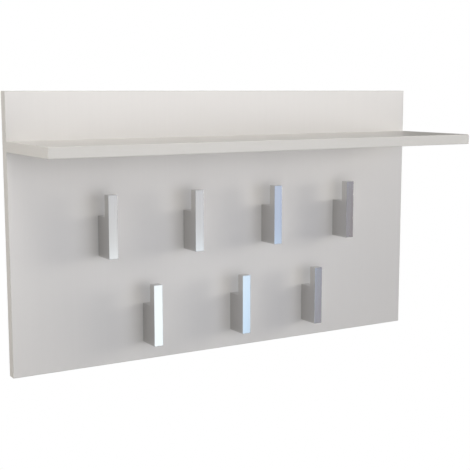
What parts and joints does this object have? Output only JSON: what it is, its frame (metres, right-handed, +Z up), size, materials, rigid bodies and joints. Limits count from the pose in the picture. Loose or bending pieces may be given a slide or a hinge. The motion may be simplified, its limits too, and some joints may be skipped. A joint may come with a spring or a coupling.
{
  "type": "wall hook rack",
  "caption": "Wall coat rack: faced back panel with a full-width shelf near the top, two staggered rows of fixed rectangular metal hooks and hidden keyhole plates.",
  "frame": {"origin": "centre of the back face of the panel, in the plane that lies against the wall", "axes": "+X to the right seen from the front, +Z up, +Y into the wall; the front of the rack looks along -Y"},
  "size_m": [0.74, 0.185, 0.424],
  "materials": {
    "board": "white melamine-faced chipboard, silk with a very fine texture",
    "edge_band": "white ABS edge band, silk",
    "hook_metal": "extruded aluminium, finely brushed and bright anodised",
    "zinc_steel": "blue zinc-plated steel",
    "dowel": "smooth turned beech"
  },
  "bodies": {
    "root": {"back_panel": "board", "panel_edge_band_top": "edge_band", "panel_edge_band_bottom": "edge_band", "panel_edge_band_left": "edge_band", "panel_edge_band_right": "edge_band", "shelf_board": "board", "shelf_edge_band_front": "edge_band", "shelf_edge_band_left": "edge_band", "shelf_edge_band_right": "edge_band", "hook_1": "hook_metal", "hook_2": "hook_metal", "hook_3": "hook_metal", "hook_4": "hook_metal", "hook_5": "hook_metal", "hook_6": "hook_metal", "hook_7": "hook_metal", "hook_screws": "zinc_steel", "shelf_screws": "zinc_steel", "shelf_dowels": "dowel", "hanger_plate_left": "zinc_steel", "hanger_plate_right": "zinc_steel", "hanger_screws": "zinc_steel"}
  },
  "joints": []
}
